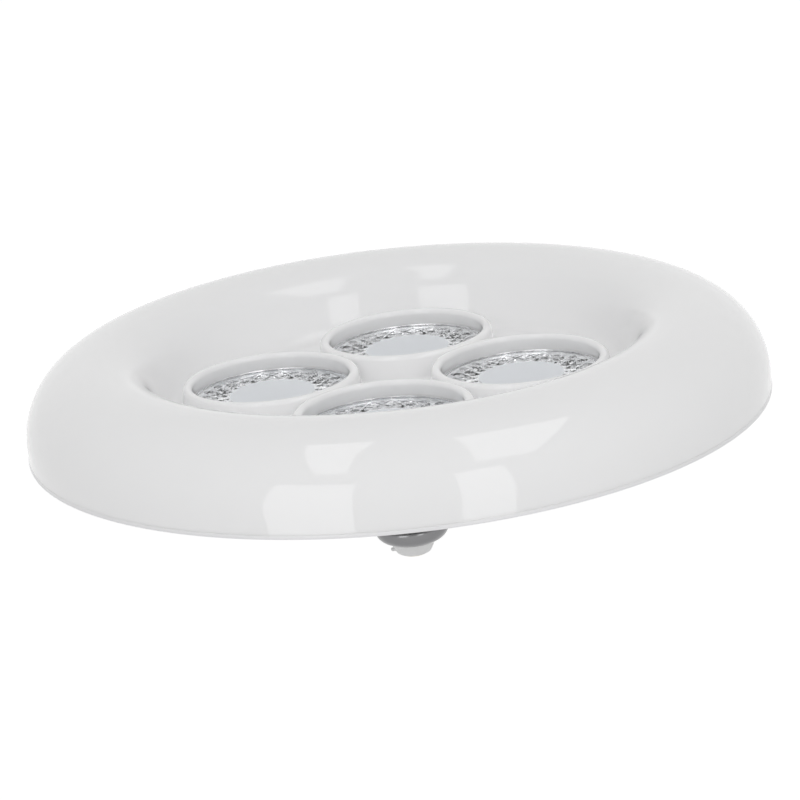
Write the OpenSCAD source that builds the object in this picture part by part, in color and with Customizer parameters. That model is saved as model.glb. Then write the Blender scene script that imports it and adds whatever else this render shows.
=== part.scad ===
// Screw-base LED lamp with a saucer-shaped opal diffuser and four crystal spot lenses.
// The light face looks up (+Z). The origin is the middle of the end contact's face.

/* [Diffuser] */
// Diameter of the skirt
dome_d = 250; // [246:1:256]
// Height of the ridge above the skirt's lower edge
dome_h = 30.2; // [28:0.1:34]
// Height of the straight skirt
skirt_h = 5.4; // [4.5:0.1:8]
// Diameter of the circle along the top of the ridge
ridge_d = 199; // [194:1:204]
// Diameter of the flat bowl inside the ridge
bowl_d = 147; // [145:0.5:150]
// Height of the bowl's floor above the skirt's lower edge
bowl_h = 6.8; // [6.2:0.1:7.4]
// How far the inner slope runs on level from the ridge
ridge_pull = 24.3; // [20:0.1:28]
// How far the inner slope runs on level into the floor
floor_pull = 11.2; // [8:0.1:14]
// Wall of the opal moulding
dome_wall = 2; // [1.6:0.1:2.4]

/* [Spots] */
// Diameter of the circle through the four spots' centres
spot_circle_d = 84.4; // [83.6:0.1:85.4]
// Angle of the first spot
spot_turn = -7; // [-45:1:45]
// Height of a collar's rim above the skirt's lower edge
collar_h = 15.8; // [14.5:0.1:18]
// Inner diameter of a collar at its rim
collar_bore_d = 53; // [52.6:0.1:53.2]
// Thickness of a collar at its rim
collar_wall = 3.4; // [3.2:0.1:3.8]
// Draft of a collar's outer side, at its root
collar_draft = 0.45; // [0.3:0.05:0.6]
// Radius of the fillet at a collar's root
collar_fillet = 1.6; // [1:0.1:2]
// Width of the chrome ring that shows round a lens
chrome_ring_w = 0.8; // [0.6:0.05:1]
// Height of the chrome ring above the skirt's lower edge
chrome_ring_h = 10.5; // [10:0.1:11.2]
// Thickness of a lens
lens_t = 1.3; // [1:0.1:1.6]
// Diameter of a lens's smooth centre
lens_centre_d = 28.8; // [24:0.2:32]
// Height of a crystal facet's point above the lens
crystal_h = 0.75; // [0.4:0.05:0.9]
// Crystal facets in each row
crystal_n = 24; // [18:1:30]
// Diameter of a spot's small circuit board
spot_board_d = 20; // [17:0.5:22]
// Side of an emitter's package
emitter_w = 5; // [4:0.1:5.6]

/* [Rear cover] */
// Thickness of the cover's rim, below the diffuser's skirt
rim_t = 1.3; // [1.1:0.1:1.6]
// How far the rim stands proud of the skirt
rim_lip = 0.4; // [0.2:0.05:0.6]
// Wall of the rear cover
cover_wall = 2; // [1.7:0.1:2.3]
// Depth of the cover's flat floor below the rim
floor_drop = 5.5; // [5.2:0.1:5.8]
// Width of the slope between the cover's rim and its flat floor
rim_slope_w = 20.5; // [19:0.5:22]
// Diameter of the driver housing where it leaves the floor
housing_d = 87; // [85:0.5:90]
// Wall of the housing round the driver's circuit board
pocket_wall = 2.8; // [2.4:0.1:3.2]
// Distance from the skirt's lower edge down to the lamp base
neck_drop = 23.5; // [22.5:0.1:26]
// Vent slots round the driver housing
vent_n = 24; // [16:1:28]
// Width of a vent slot
vent_w = 2.2; // [1.6:0.1:2.6]

/* [Lamp base] */
// Diameter over the crests of the thread
thread_d = 26.4; // [26:0.05:26.5]
// Depth of the rounded thread
thread_depth = 1.1; // [0.9:0.05:1.2]
// Pitch of the thread
thread_pitch = 3.63; // [3.5:0.01:3.7]
// Length of the base, end contact included
base_h = 27; // [26.5:0.1:28]
// Height of the plain rim above the thread
shell_rim_h = 4; // [3:0.1:4.6]
// Bore of the metal shell
shell_bore_d = 23.2; // [22.8:0.1:23.4]
// Radius of the roll at the shell's lower end
shell_roll = 5.2; // [4.8:0.1:5.6]
// Diameter of the shell's open end, round the insulator
shell_end_d = 15.4; // [14.8:0.1:16]
// Height of the insulator that shows below the shell
insulator_h = 4.4; // [4:0.1:4.8]
// Diameter of the insulator at its lower end
insulator_end_d = 12; // [11.4:0.1:12.6]
// Radius of the moulding pip at the insulator's side
pip_r = 0.7; // [0.5:0.05:0.9]
// Diameter of the end contact
contact_d = 9.4; // [8.6:0.1:10]
// Height of the end contact
contact_h = 1.1; // [0.9:0.05:1.3]
// How far the contact's hollow stem stands above the insulator
stem_over = 0.7; // [0.5:0.1:1]
// Room between the insulator and the neck's spigot, for the lead to the shell
spigot_room = 5.2; // [4.6:0.1:6]

/* [LED plate] */
// Gap between the aluminium plate's edge and the rear cover
plate_gap = 0.5; // [0.3:0.1:0.8]
// Thickness of the aluminium plate
plate_t = 1.5; // [1.2:0.1:1.6]
// Height of the bosses that carry the plate
boss_h = 1.5; // [1.2:0.1:1.8]
// Distance from the plate's edge to the ring-shaped board
ring_board_inset = 2.5; // [2:0.5:4]
// Width of the ring-shaped board
ring_board_w = 12.5; // [12:0.5:14]
// Thickness of the circuit boards on the plate
led_board_t = 1.1; // [1:0.1:1.4]
// LED packages on the ring-shaped board
ring_led_n = 60; // [40:1:72]
// Length of an LED package
ring_led_l = 3.5; // [3:0.1:4]
// Width of an LED package
ring_led_w = 2.8; // [2.4:0.1:3.2]
// Height of an LED package
ring_led_h = 0.8; // [0.6:0.05:1]
// Distance from the ring-shaped board in to the screws that hold the plate
plate_screw_inset = 7; // [6:0.5:8]

/* [Driver] */
// Thickness of the driver's circuit board
driver_t = 1.6; // [1.4:0.1:1.8]
// Depth of the ledge under the cover's floor that carries the driver
ledge_drop = 4.5; // [4.2:0.1:4.8]
// Height of the bosses that the driver is screwed to
driver_boss_h = 6; // [5:0.5:7]
// Width of the transformer
transformer_w = 13; // [12:0.5:14]
// Height of the transformer
transformer_h = 9; // [8:0.5:9.5]
// Diameter of the mains-side capacitor
input_cap_d = 8; // [7:0.5:8]
// Diameter of the LED-side capacitor
output_cap_d = 6.3; // [5.5:0.1:6.8]
// Height of the capacitors
cap_h = 8; // [7:0.5:8.5]
// Diameter of the line choke
choke_d = 6.5; // [6:0.1:7.2]

/* [Fasteners and leads] */
// Radius of the circle of screws that join the cover and the diffuser
cover_screw_r = 62; // [61:0.25:63.5]
// Diameter of a screw's shank
screw_d = 3; // [2.6:0.1:3.1]
// Diameter of a screw's head
screw_head_d = 5.6; // [5.2:0.1:5.8]
// Height of a screw's head
screw_head_h = 1.6; // [1.4:0.1:1.8]
// Thickness of the cover under the head of a cover screw
screw_web = 1; // [0.8:0.1:1.3]
// Diameter of the leads
lead_d = 1.2; // [1:0.1:1.4]
// Side clearance of pieces that drop into one another
fit_gap = 0.1; // [0.05:0.01:0.15]

/* [Hidden] */
$fn = 96;
curve_steps = 20;
spot_n = 4;

// Heights, from the end contact upwards
skirt_z = base_h + neck_drop;
floor_out_z = skirt_z - floor_drop;
floor_in_z = floor_out_z + cover_wall;
plate_z = floor_in_z + boss_h;
plate_top = plate_z + plate_t;
led_board_top = plate_top + led_board_t;
ledge_z = floor_in_z - ledge_drop;
driver_top = ledge_z + driver_t;
bowl_z = skirt_z + bowl_h;
bowl_under_z = bowl_z - dome_wall;
shoulder_z = skirt_z + chrome_ring_h - 0.3;
insulator_z = contact_h - 0.3;
shell_end_z = insulator_z + insulator_h;
roll_z = shell_end_z + shell_roll;
stem_top = roll_z + stem_over;
spigot_z = roll_z + spigot_room;

// Radii of the diffuser
dome_r = dome_d / 2;
ridge_r = ridge_d / 2;
bowl_r = bowl_d / 2;
rim_r = dome_r + rim_lip;

// Radii of a spot, about its own axis
spot_r = spot_circle_d / 2;
collar_in_r = collar_bore_d / 2;
collar_out_r = collar_in_r + collar_wall;
chrome_r = collar_in_r + 0.7;
lens_r = chrome_r - chrome_ring_w;
seat_r = lens_r + fit_gap;
seat_step = 1.3;
flange_r = chrome_r + 1.2;
recess_r = flange_r + fit_gap;
post_angle = spot_turn + 180 / spot_n;

// Radii of the rear cover and the lamp base
housing_r = housing_d / 2;
pocket_r = housing_r - pocket_wall;
driver_r = pocket_r - 2 * fit_gap;
dish_r = dome_r - rim_slope_w;
shell_r = thread_d / 2 - 0.3;
shell_bore_r = shell_bore_d / 2;
shell_end_r = shell_end_d / 2;
seal_r = shell_end_r - 0.5;
stem_r = contact_d / 2 - 2.6;
spigot_r = shell_bore_r - fit_gap;
spigot_wall = 1.5;
neck_r = shell_r + 1.4;

// Radii of the LED plate, its ring-shaped board and its screws
plate_r = dish_r + cover_wall - plate_gap;
ring_out_r = plate_r - ring_board_inset;
ring_in_r = ring_out_r - ring_board_w;
plate_screw_r = ring_in_r - plate_screw_inset;
plate_turn = spot_turn + 90 / spot_n;

// Screws and their posts
shank_r = screw_d / 2;
pilot_r = shank_r + fit_gap;
head_r = screw_head_d / 2;
post_r = pilot_r + cover_wall;
pad_r = head_r + cover_wall;
pad_top = floor_out_z + screw_head_h + screw_web;
cover_screw_l = bowl_under_z - floor_out_z - screw_head_h - 0.8;
plate_screw_l = plate_t + boss_h + cover_wall - 0.9;
driver_screw_n = 3;
driver_boss_r = shank_r + 1.6;
driver_screw_r = driver_r - head_r - 0.3;
driver_screw_l = driver_t + driver_boss_h - 2;

// A point of a curve that runs through start and end and leans towards two guides
function bezier(p, t) =
  pow(1 - t, 3) * p[0] + 3 * pow(1 - t, 2) * t * p[1] + 3 * (1 - t) * t * t * p[2] + pow(t, 3) * p[3];

// The direction of that curve
function bezier_run(p, t) =
  3 * pow(1 - t, 2) * (p[1] - p[0]) + 6 * (1 - t) * t * (p[2] - p[1]) + 3 * t * t * (p[3] - p[2]);

// A point at a distance to the left of the curve's direction
function beside(p, t, gap) =
  let (run = bezier_run(p, t), side = [-run.y, run.x] / norm(run))
  bezier(p, t) + gap * side;

function steps(n) = [for (i = [0 : n]) i / n];

// The inner slope of the diffuser, from the ridge down to the bowl
slope = [
  [ridge_r, skirt_z + dome_h],
  [ridge_r - ridge_pull, skirt_z + dome_h],
  [bowl_r + floor_pull, bowl_z],
  [bowl_r, bowl_z]
];

// Section of the diffuser at a depth below its outer face
function shoulder_arc(depth) = [
  for (t = steps(curve_steps))
    [
      ridge_r + (dome_r - ridge_r - depth) * cos(90 * t),
      skirt_z + skirt_h + (dome_h - skirt_h - depth) * sin(90 * t)
    ]
];
function slope_curve(depth) = [for (t = steps(curve_steps)) if (t > 0) beside(slope, t, depth)];
function dome_line(depth) = concat(
  [[dome_r - depth, skirt_z + rim_t]],
  shoulder_arc(depth),
  slope_curve(depth),
  [[0, bowl_z - depth]]
);
function backwards(list) = [for (i = [len(list) - 1 : -1 : 0]) list[i]];

// Places a copy on one spot, or copies on a circle
module at_spot(i) {
  rotate([0, 0, spot_turn + 360 * i / spot_n]) translate([spot_r, 0, 0]) children();
}
module around(n, radius, turn = 0) {
  for (i = [0 : n - 1]) rotate([0, 0, turn + 360 * i / n]) translate([radius, 0, 0]) children();
}

// Section of one collar: drafted bore, full round rim, drafted outer side with a root fillet
module collar_section() {
  rim_mid = collar_in_r + collar_wall / 2;
  rim_mid_z = skirt_z + collar_h - collar_wall / 2;
  root_r = collar_out_r + collar_draft;
  tube_end = bowl_under_z - 1.2;
  round_rim = [
    for (a = [180 : -15 : 0])
      [rim_mid + collar_wall / 2 * cos(a), rim_mid_z + collar_wall / 2 * sin(a)]
  ];
  fillet = [
    for (a = [180 : 18 : 252])
      [root_r + collar_fillet * (1 + cos(a)), bowl_z + collar_fillet * (1 + sin(a))]
  ];
  polygon(concat(
    [[recess_r, tube_end], [recess_r, shoulder_z], [chrome_r, shoulder_z]],
    round_rim,
    fillet,
    [[root_r + 1.2 * collar_fillet, bowl_z - 0.15], [root_r + 1.2 * collar_fillet, bowl_z - 1]],
    [[collar_out_r, bowl_z - 1], [collar_out_r, tube_end]]
  ));
}

// One opal moulding: ring, bowl, four collars and the posts behind the bowl
module diffuser() {
  color("white") {
    difference() {
      union() {
        rotate_extrude() polygon(concat(dome_line(0), backwards(dome_line(dome_wall))));
        around(spot_n, cover_screw_r, post_angle) {
          translate([0, 0, pad_top]) cylinder(r = post_r, h = bowl_under_z + dome_wall / 2 - pad_top);
        }
        for (i = [0 : spot_n - 1]) at_spot(i) rotate_extrude() collar_section();
      }
      for (i = [0 : spot_n - 1]) {
        at_spot(i) translate([0, 0, bowl_under_z - 2]) {
          cylinder(r = recess_r, h = shoulder_z - bowl_under_z + 2);
        }
        at_spot(i) rotate_extrude() polygon([
          [0, shoulder_z - 1],
          [chrome_r, shoulder_z - 1],
          [chrome_r, shoulder_z],
          [collar_in_r, skirt_z + collar_h - collar_wall / 2],
          [0, skirt_z + collar_h - collar_wall / 2]
        ]);
      }
      around(spot_n, cover_screw_r, post_angle) {
        translate([0, 0, pad_top - 1]) cylinder(r = pilot_r, h = bowl_under_z - pad_top + 0.7);
      }
    }
  }
}

// Section of the rear cover: rim, register lip, dished floor, ledge, driver housing, neck, spigot
module cover_section() {
  lip_r = dome_r - dome_wall - fit_gap;
  // Height at which the housing turns in towards the neck
  turn_z = base_h + (floor_out_z - base_h) / 4;
  outside = [
    [housing_r, floor_out_z - 3.5],
    [housing_r - 5, turn_z],
    [neck_r + 3, base_h + 1.5],
    [neck_r, base_h + 1]
  ];
  ledge_in_r = driver_r - 2.2;
  inside = [
    [ledge_in_r, ledge_z],
    [ledge_in_r - 4, turn_z + 1.5],
    [neck_r + 2, base_h + 3.4],
    [spigot_r - spigot_wall, base_h + 3]
  ];
  polygon(concat(
    [
      [rim_r, skirt_z],
      [rim_r, skirt_z + rim_t],
      [lip_r, skirt_z + rim_t],
      [lip_r, skirt_z + rim_t + 2.5],
      [lip_r - cover_wall, skirt_z + rim_t + 2.5],
      [lip_r - cover_wall, skirt_z + 1.5],
      [dish_r + cover_wall, floor_in_z],
      [pocket_r, floor_in_z],
      [pocket_r, ledge_z]
    ],
    [for (t = steps(curve_steps)) bezier(inside, t)],
    [
      [spigot_r - spigot_wall, spigot_z],
      [spigot_r, spigot_z],
      [spigot_r, base_h],
      [neck_r, base_h]
    ],
    backwards([for (t = steps(curve_steps)) bezier(outside, t)]),
    [
      [housing_r, floor_out_z - 1.5],
      [housing_r + 1.5, floor_out_z],
      [dish_r, floor_out_z],
      [dome_r - 5, skirt_z]
    ]
  ));
}

// White moulded rear cover with the driver housing and the neck for the lamp base
module back_cover() {
  vent_from = 0.55 * housing_r;
  color("whitesmoke") {
    difference() {
      union() {
        rotate_extrude() cover_section();
        around(spot_n, cover_screw_r, post_angle) {
          translate([0, 0, floor_out_z]) cylinder(r = pad_r, h = pad_top - floor_out_z);
        }
        around(spot_n, plate_screw_r, plate_turn) {
          translate([0, 0, floor_out_z + 1]) cylinder(r = pad_r, h = plate_z - floor_out_z - 1);
        }
        around(driver_screw_n, driver_screw_r - 1) {
          translate([0, 0, ledge_z - driver_boss_h]) cylinder(r = driver_boss_r, h = driver_boss_h);
        }
      }
      around(spot_n, cover_screw_r, post_angle) {
        translate([0, 0, floor_out_z - 1]) cylinder(r = head_r + 2 * fit_gap, h = screw_head_h + 1);
        translate([0, 0, floor_out_z]) cylinder(r = pilot_r, h = cover_wall + 3);
      }
      around(spot_n, plate_screw_r, plate_turn) {
        translate([0, 0, plate_top - plate_screw_l - 0.3]) cylinder(r = pilot_r, h = plate_screw_l + 1);
      }
      around(driver_screw_n, driver_screw_r) {
        translate([0, 0, driver_top - driver_screw_l - 0.3]) {
          cylinder(r = pilot_r, h = driver_screw_l + 1);
        }
      }
      around(vent_n, vent_from, 180 / vent_n) {
        translate([0, -vent_w / 2, base_h + 2]) cube([0.33 * housing_r, vent_w, 10]);
      }
    }
  }
}

// The roll at the shell's lower end, at a depth inside its outer face
function roll_arc(depth) = [
  for (t = steps(8))
    [
      shell_end_r + (shell_r - shell_end_r - depth) * sin(90 * t),
      roll_z - (shell_roll - depth) * cos(90 * t)
    ]
];

// Metal shell: one swept surface of rolled lower end, right-hand knuckle thread and plain rim
function shell_point(row, a) =
  let (wave = 0.5 + 0.5 * cos(360 * row.y / thread_pitch - a))
  let (r = row.x + row.z * (thread_d / 2 - thread_depth * (1 - wave) - row.x))
  [r * cos(a), r * sin(a), row.y];
module screw_shell() {
  sides = 48;
  high = base_h - shell_rim_h;
  turns = round((high - roll_z) / thread_pitch * 8);
  // Each row of the sweep: plain radius, height, and how far the thread has run in
  rows = concat(
    [for (p = roll_arc(0)) [p.x, p.y, 0]],
    [
      for (j = [1 : turns])
        let (z = roll_z + (high - roll_z) * j / turns)
        [shell_r, z, max(0, min(1, (z - roll_z) / 1.6, (high - z) / 1.6))]
    ],
    [[shell_r, high + 0.6, 0], [shell_r, base_h, 0]]
  );
  last = len(rows) - 1;
  grid = [for (j = [0 : last], i = [0 : sides - 1]) shell_point(rows[j], 360 * i / sides)];
  walls = [
    for (j = [0 : last - 1], i = [0 : sides - 1], half = [0, 1])
      let (k = (i + 1) % sides, a = j * sides, b = a + sides)
      half == 0 ? [a + i, b + i, b + k] : [a + i, b + k, a + k]
  ];
  ends = [[for (i = [0 : sides - 1]) i], [for (i = [sides - 1 : -1 : 0]) last * sides + i]];
  color("silver") {
    difference() {
      polyhedron(points = grid, faces = concat(walls, ends), convexity = 6);
      rotate_extrude() polygon(concat(
        [[0, base_h + 1], [0, shell_end_z - 1], [seal_r, shell_end_z - 1]],
        [[seal_r, roll_arc(shell_r - shell_bore_r)[0].y]],
        roll_arc(shell_r - shell_bore_r),
        [[shell_bore_r, base_h + 1]]
      ));
    }
  }
}

// Pale insulator that fills the shell's rolled end and holds the contact, with its moulding pip
module base_insulator() {
  end_r = insulator_end_d / 2;
  inside = roll_arc(shell_r - shell_bore_r + fit_gap);
  pip_z = insulator_z + 0.32 * insulator_h;
  color("gainsboro") {
    difference() {
      union() {
        rotate_extrude() polygon(concat(
          [
            [0, insulator_z],
            [end_r - 0.5, insulator_z],
            [end_r, insulator_z + 0.3],
            [shell_end_r, shell_end_z - 0.3],
            [shell_end_r - 0.2, shell_end_z],
            [seal_r - fit_gap, shell_end_z],
            [seal_r - fit_gap, inside[0].y]
          ],
          inside,
          [[0, roll_z]]
        ));
        translate([-end_r, 0, pip_z]) rotate([0, -90, 0]) {
          cylinder(r = pip_r, h = 1.7 * pip_r, $fn = 32);
          translate([0, 0, 1.7 * pip_r]) sphere(r = pip_r, $fn = 32);
        }
      }
      translate([0, 0, -1]) cylinder(r = stem_r + fit_gap, h = base_h);
      translate([0, 0, -1]) cylinder(r = contact_d / 2 + fit_gap, h = contact_h + 1);
    }
  }
}

// Domed end contact with its hollow rivet stem
module centre_contact() {
  color("lightgray") {
    rotate_extrude() polygon([
      [0, 0],
      [contact_d / 2 - 1.6, 0],
      [contact_d / 2 - 0.5, 0.2],
      [contact_d / 2, 0.55],
      [contact_d / 2, contact_h],
      [stem_r, contact_h],
      [stem_r, stem_top],
      [0, stem_top]
    ]);
  }
}

// A crystal lens: a round plate whose crown has a smooth centre and three staggered rows of pyramids
function ring_radius(j) =
  lens_centre_d / 2 * pow((lens_r - 0.6) / (lens_centre_d / 2), j / 4);
function on_ring(j, step, z) =
  let (a = 360 * step / crystal_n)
  [ring_radius(j) * cos(a), ring_radius(j) * sin(a), z];
module spot_lens(i) {
  n = crystal_n;
  low = shoulder_z - seat_step - 0.1;
  top = low + lens_t;
  valley = top - 0.25;
  // Five rings of corners, every second one turned half a step
  corners = [
    for (j = [0 : 4], i = [0 : n - 1]) on_ring(j, i + (j % 2) / 2, j == 0 || j == 4 ? top : valley)
  ];
  peaks = [for (j = [1 : 3], i = [0 : n - 1]) on_ring(j, i + (j % 2 + 1) / 2, valley + crystal_h)];
  foot = [for (i = [0 : n - 1]) on_ring(4, i, low + 0.4)];
  peak0 = 5 * n;
  foot0 = 8 * n;
  // A pyramid's kite-shaped foot reaches from the ring inside its own to the ring outside it
  pyramids = [
    for (j = [1 : 3], i = [0 : n - 1])
      let (k = (i + 1) % n, m = j % 2 == 1 ? k : i)
      let (p = peak0 + (j - 1) * n + i, left = j * n + i, right = j * n + k)
      let (inner = (j - 1) * n + m, outer = (j + 1) * n + m)
      each [[p, left, inner], [p, inner, right], [p, right, outer], [p, outer, left]]
  ];
  inner_gaps = [for (i = [0 : n - 1]) [i, (i + 1) % n, n + i]];
  outer_gaps = [for (i = [0 : n - 1]) [4 * n + (i + 1) % n, 4 * n + i, 3 * n + i]];
  side = [
    for (i = [0 : n - 1])
      let (k = (i + 1) % n)
      each [[4 * n + i, 4 * n + k, foot0 + k], [4 * n + i, foot0 + k, foot0 + i]]
  ];
  centre = [for (i = [n - 1 : -1 : 0]) i];
  under = [for (i = [0 : n - 1]) foot0 + i];
  color("lightsteelblue") {
    at_spot(i) {
      translate([0, 0, low]) cylinder(r = lens_r, h = lens_t - 0.3);
      polyhedron(
        points = concat(corners, peaks, foot),
        faces = concat([centre], pyramids, inner_gaps, outer_gaps, side, [under]),
        convexity = 6
      );
    }
  }
}

// Chromed reflector cup: flange behind the collar's shoulder, ring round the lens, dished cone
module spot_reflector(i) {
  seat_z = shoulder_z - seat_step - 0.1;
  mouth_r = 0.72 * emitter_w + 1.6;
  cup_wall = 1;
  cup = [
    [seat_r - 1, seat_z],
    [seat_r - 5, led_board_top + 5.2],
    [mouth_r + 8, led_board_top + cup_wall],
    [mouth_r, led_board_top + cup_wall]
  ];
  color("silver") {
    at_spot(i) rotate_extrude() polygon(concat(
      backwards([for (t = steps(curve_steps)) beside(cup, t, cup_wall)]),
      [
        [flange_r, seat_z - cup_wall],
        [flange_r, shoulder_z],
        [chrome_r - 0.1, shoulder_z],
        [chrome_r - 0.1, shoulder_z + 0.2],
        [chrome_r - 0.35, shoulder_z + 0.4],
        [seat_r + 0.15, shoulder_z + 0.4],
        [seat_r, shoulder_z + 0.2],
        [seat_r, seat_z]
      ],
      [for (t = steps(curve_steps)) bezier(cup, t)]
    ));
  }
}

// Small round board of one spot
module spot_board(i) {
  color("ivory") {
    at_spot(i) translate([0, 0, plate_top]) cylinder(r = spot_board_d / 2, h = led_board_t);
  }
}

// Emitter of one spot: square package with a yellow domed window
module spot_emitter(i) {
  color("gold") {
    at_spot(i) translate([0, 0, led_board_top]) {
      translate([-emitter_w / 2, -emitter_w / 2, 0]) cube([emitter_w, emitter_w, 0.8]);
      intersection() {
        translate([0, 0, 0.8 - 0.38 * emitter_w]) sphere(r = 0.56 * emitter_w);
        translate([0, 0, 0.4]) cylinder(r = 0.46 * emitter_w, h = emitter_w);
      }
    }
  }
}

// Aluminium plate that carries the boards, with holes for posts, screws and leads
module led_plate() {
  color("lightgray") {
    difference() {
      translate([0, 0, plate_z]) cylinder(r = plate_r, h = plate_t);
      translate([0, 0, plate_z - 1]) cylinder(r = 5, h = plate_t + 2);
      around(spot_n, cover_screw_r, post_angle) {
        translate([0, 0, plate_z - 1]) cylinder(r = post_r + 4 * fit_gap, h = plate_t + 2);
      }
      around(spot_n, plate_screw_r, plate_turn) {
        translate([0, 0, plate_z - 1]) cylinder(r = pilot_r, h = plate_t + 2);
      }
    }
  }
}

// Ring-shaped board with its LED packages soldered on
module ring_led_board() {
  led_r = (ring_in_r + ring_out_r) / 2;
  color("ivory") {
    difference() {
      translate([0, 0, plate_top]) cylinder(r = ring_out_r, h = led_board_t);
      translate([0, 0, plate_top - 1]) cylinder(r = ring_in_r, h = led_board_t + 2);
    }
    around(ring_led_n, led_r) {
      translate([-ring_led_w / 2, -ring_led_l / 2, led_board_top - 0.2]) {
        cube([ring_led_w, ring_led_l, ring_led_h + 0.2]);
      }
    }
  }
}

// Round circuit board of the driver, screwed to the ledge
module driver_board() {
  color("darkgreen") {
    difference() {
      translate([0, 0, ledge_z]) cylinder(r = driver_r, h = driver_t);
      around(driver_screw_n, driver_screw_r) {
        translate([0, 0, ledge_z - 1]) cylinder(r = pilot_r, h = driver_t + 2);
      }
    }
  }
}

// The driver's components hang from the board towards the lamp base
module below_board(x, y) {
  translate([x, y, ledge_z]) mirror([0, 0, 1]) children();
}

// Transformer: bobbin with pins' flange, winding and ferrite core
module transformer() {
  w = transformer_w;
  color("goldenrod") {
    below_board(-9, 8) {
      translate([-w / 2, -w / 2, 0]) cube([w, w, 1.4]);
      translate([-w / 2 + 1.2, -w / 2 + 1.2, 1]) cube([w - 2.4, w - 2.4, transformer_h - 2]);
      translate([-w / 2 + 3, -w / 2, 2.4]) cube([w - 6, w, transformer_h - 2.4]);
    }
  }
}

// Upright capacitor with a rolled groove near its foot
module capacitor(d, h) {
  rotate_extrude() polygon([
    [0, 0],
    [d / 2 - 0.3, 0],
    [d / 2, 0.3],
    [d / 2, 1.2],
    [d / 2 - 0.3, 1.6],
    [d / 2, 2],
    [d / 2, h - 0.4],
    [d / 2 - 0.4, h],
    [0, h]
  ]);
}
module input_capacitor() {
  color("dimgray") below_board(9, 8) capacitor(input_cap_d, cap_h);
}
module output_capacitor() {
  color("dimgray") below_board(-9, -8) capacitor(output_cap_d, cap_h);
}

// Line choke: drum core with two flanges round its winding
module line_choke() {
  color("saddlebrown") {
    below_board(9, -4) {
      cylinder(d = choke_d, h = 1);
      translate([0, 0, 0.8]) cylinder(d = choke_d - 1.2, h = 5.4);
      translate([0, 0, 6]) cylinder(d = choke_d, h = 1);
    }
  }
}

// Flat rectifier and controller packages
module bridge_rectifier() {
  color("black") below_board(19, 3) translate([-3, -2.2, 0]) cube([6, 4.4, 2.4]);
}
module driver_chip() {
  color("black") below_board(0, -1) translate([-2.5, -2, 0]) cube([5, 4, 1.5]);
}

// Fusible resistor that lies on the board
module fusible_resistor() {
  color("tan") {
    below_board(2, 17) translate([-4, 0, 1.6]) rotate([0, 90, 0]) {
      cylinder(r = 1.3, h = 8);
      translate([0, 0, 0.4]) cylinder(r = 1.6, h = 1.6);
      translate([0, 0, 6]) cylinder(r = 1.6, h = 1.6);
    }
  }
}

// A lead: a round tube swept along smooth curves through hand-picked points
function spline(a, b, c, d, t) =
  0.5 * (2 * b + t * (c - a) + t * t * (2 * a - 5 * b + 4 * c - d) + pow(t, 3) * (3 * b - a - 3 * c + d));
function smooth_route(p, parts) = concat(
  [
    for (i = [0 : len(p) - 2], s = [0 : parts - 1])
      spline(p[max(i - 1, 0)], p[i], p[i + 1], p[min(i + 2, len(p) - 1)], s / parts)
  ],
  [p[len(p) - 1]]
);
module lead(route, d) {
  sides = 8;
  path = smooth_route(route, 3);
  last = len(path) - 1;
  rings = [
    for (i = [0 : last])
      let (from = i == 0 ? route[0] : path[i - 1], to = i == last ? path[last] : path[i + 1])
      let (run = i == 0 ? route[1] - from : i == last ? to - route[len(route) - 2] : to - from)
      let (dir = run / norm(run))
      let (ref = abs(dir.z) > 0.9 ? [1, 0, 0] : [0, 0, 1])
      let (side = cross(dir, ref), u = side / norm(side), v = cross(dir, u))
      for (k = [0 : sides - 1]) path[i] + d / 2 * (cos(45 * k) * u + sin(45 * k) * v)
  ];
  walls = [
    for (i = [0 : last - 1], k = [0 : sides - 1], half = [0, 1])
      let (m = (k + 1) % sides, a = i * sides, b = a + sides)
      half == 0 ? [a + k, b + k, b + m] : [a + k, b + m, a + m]
  ];
  caps = [[for (k = [0 : sides - 1]) k], [for (k = [sides - 1 : -1 : 0]) last * sides + k]];
  polyhedron(points = rings, faces = concat(walls, caps), convexity = 4);
}

// Mains leads, from the driver board down through the neck
module live_lead() {
  color("firebrick") {
    lead([
      [3, 6, ledge_z],
      [3, 6, ledge_z - 4],
      [2, 3.5, base_h - 2],
      [1, 1, stem_top + 6],
      [0, 0, stem_top + 3],
      [0, 0, stem_top]
    ], lead_d);
  }
}
module neutral_lead() {
  side = shell_bore_r - lead_d / 2 - fit_gap;
  color("royalblue") {
    lead([
      [3, -7, ledge_z],
      [3, -7, ledge_z - 4],
      [4, -4, base_h - 2],
      [7, -1, spigot_z + 3],
      [8.4, 0, spigot_z - 1.6],
      [side, 0, roll_z + 0.35 * spigot_room]
    ], lead_d);
  }
}

// Low-voltage leads, from the driver board through the plate to the ring-shaped board
module led_lead(offset, tint) {
  up = led_board_top + lead_d / 2 + 0.3;
  color(tint) rotate([0, 0, post_angle]) {
    lead([
      [0, 0.4 * offset, driver_top],
      [0, 0.4 * offset, plate_z],
      [3, 0.6 * offset, up],
      [20, offset, up],
      [cover_screw_r, offset, up],
      [ring_in_r - 4, 0.7 * offset, up],
      [ring_in_r + 2, 0.6 * offset, up - 0.3]
    ], lead_d);
  }
}
module plus_lead() {
  led_lead(5.6, "firebrick");
}
module minus_lead() {
  led_lead(-5.6, "dimgray");
}

// Straight pairs of leads, from the ring-shaped board in to each spot's board
module spot_leads() {
  r = 0.5;
  offset = 3;
  from = spot_r + sqrt(pow(spot_board_d / 2, 2) - pow(offset + r, 2)) + 0.3;
  to = sqrt(pow(ring_in_r, 2) - pow(offset + r, 2)) - 0.1;
  color("dimgray") {
    around(spot_n, from, spot_turn) {
      for (s = [-1, 1]) translate([0, s * offset, plate_top + r]) {
        rotate([0, 90, 0]) cylinder(r = r, h = to - from, $fn = 24);
      }
    }
  }
}

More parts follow.
